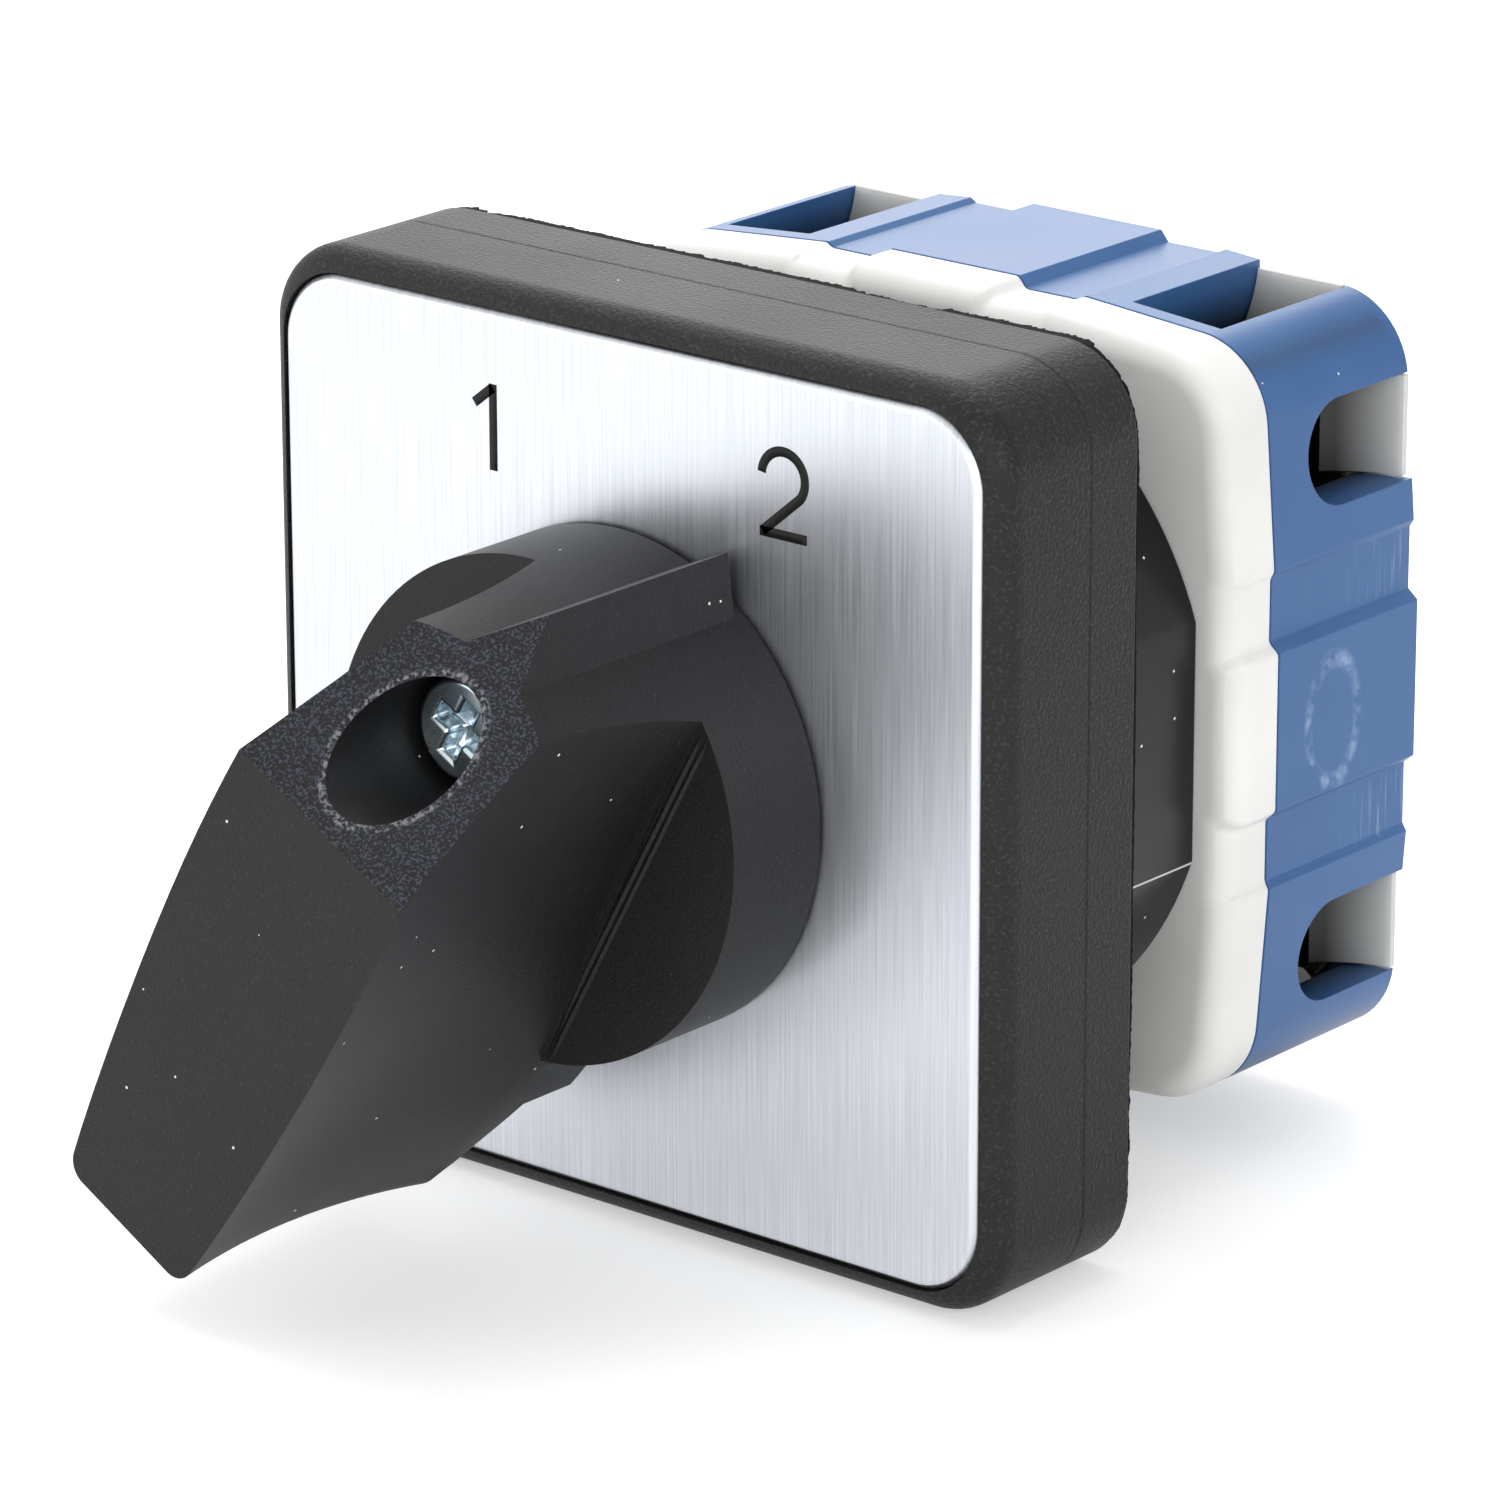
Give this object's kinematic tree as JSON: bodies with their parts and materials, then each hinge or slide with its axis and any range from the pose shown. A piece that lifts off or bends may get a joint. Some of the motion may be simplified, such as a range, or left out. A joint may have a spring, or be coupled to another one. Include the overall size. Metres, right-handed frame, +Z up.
{
  "type": "rotary cam switch",
  "caption": "Panel-mounted rotary cam switch: square escutcheon with brushed label, off-axis screwed lever handle, latch housing and one blue changeover contact deck.",
  "frame": {"origin": "where the shaft's axis meets the front face of the panel, which is the rear face of the base plate", "axes": "+Z up, the handle and label face -Y, the shaft runs along Y and the contact deck lies towards +Y, +X to the right seen from the front"},
  "size_m": [0.048, 0.0652, 0.048],
  "materials": {
    "escutcheon_black": "fine moulded grain",
    "handle_black": "fine moulded grain",
    "brushed_label": "brushed upright, lacquered",
    "latch_black": "satin moulded",
    "pale_moulding": "satin moulded",
    "deck_blue": "satin moulded",
    "inner_grey": "moulded",
    "zinc_steel": "blue-passivated zinc",
    "spring_steel": "drawn bright",
    "contact_brass": "stamped",
    "contact_silver": "silver, coined"
  },
  "bodies": {
    "housing": {"base_plate": "escutcheon_black", "escutcheon_frame": "escutcheon_black", "label_plate": "brushed_label", "fixing_screws": "zinc_steel", "latch_housing": "latch_black", "deck_nuts": "zinc_steel", "deck_bolts": "zinc_steel", "mounting_plate": "pale_moulding", "contact_housing": "deck_blue", "end_cover": "pale_moulding", "fixed_tips": "contact_silver", "clamp_washers": "zinc_steel", "terminal_screws": "zinc_steel", "right_detent_spring": "spring_steel", "left_detent_spring": "spring_steel", "upper_contact_spring": "spring_steel", "lower_contact_spring": "spring_steel", "upper_right_contact": "contact_brass", "upper_left_contact": "contact_brass", "lower_right_contact": "contact_brass", "lower_left_contact": "contact_brass"},
    "rotor": {"handle": "handle_black", "handle_carrier": "inner_grey", "handle_screw": "zinc_steel", "carrier_clip": "spring_steel", "shaft": "zinc_steel", "stop_plate": "zinc_steel", "star_wheel": "inner_grey", "contact_cam": "inner_grey"},
    "upper_contact": {"upper_plunger": "inner_grey", "upper_bridge": "contact_brass", "upper_bridge_tips": "contact_silver"},
    "lower_contact": {"lower_plunger": "inner_grey", "lower_bridge": "contact_brass", "lower_bridge_tips": "contact_silver"}
  },
  "joints": [
    {"name": "shaft_turn", "type": "hinge", "parent": "housing", "child": "rotor", "pos_m": [0, 0, 0], "axis": [0, -1, 0], "range_deg": [0, 60], "deforming": ["right_detent_spring", "left_detent_spring"]},
    {"name": "upper_contact_slide", "type": "slide", "parent": "housing", "child": "upper_contact", "axis": [0, 0, -1], "range_m": [0, 0.0015], "deforming": ["upper_contact_spring"]},
    {"name": "lower_contact_slide", "type": "slide", "parent": "housing", "child": "lower_contact", "axis": [0, 0, -1], "range_m": [0, 0.0015], "deforming": ["lower_contact_spring"]}
  ],
  "couplings": [
    {"joint": "upper_contact_slide", "follows": "shaft_turn", "m_per_rad": 0.001432},
    {"joint": "lower_contact_slide", "follows": "shaft_turn", "m_per_rad": 0.001432}
  ]
}
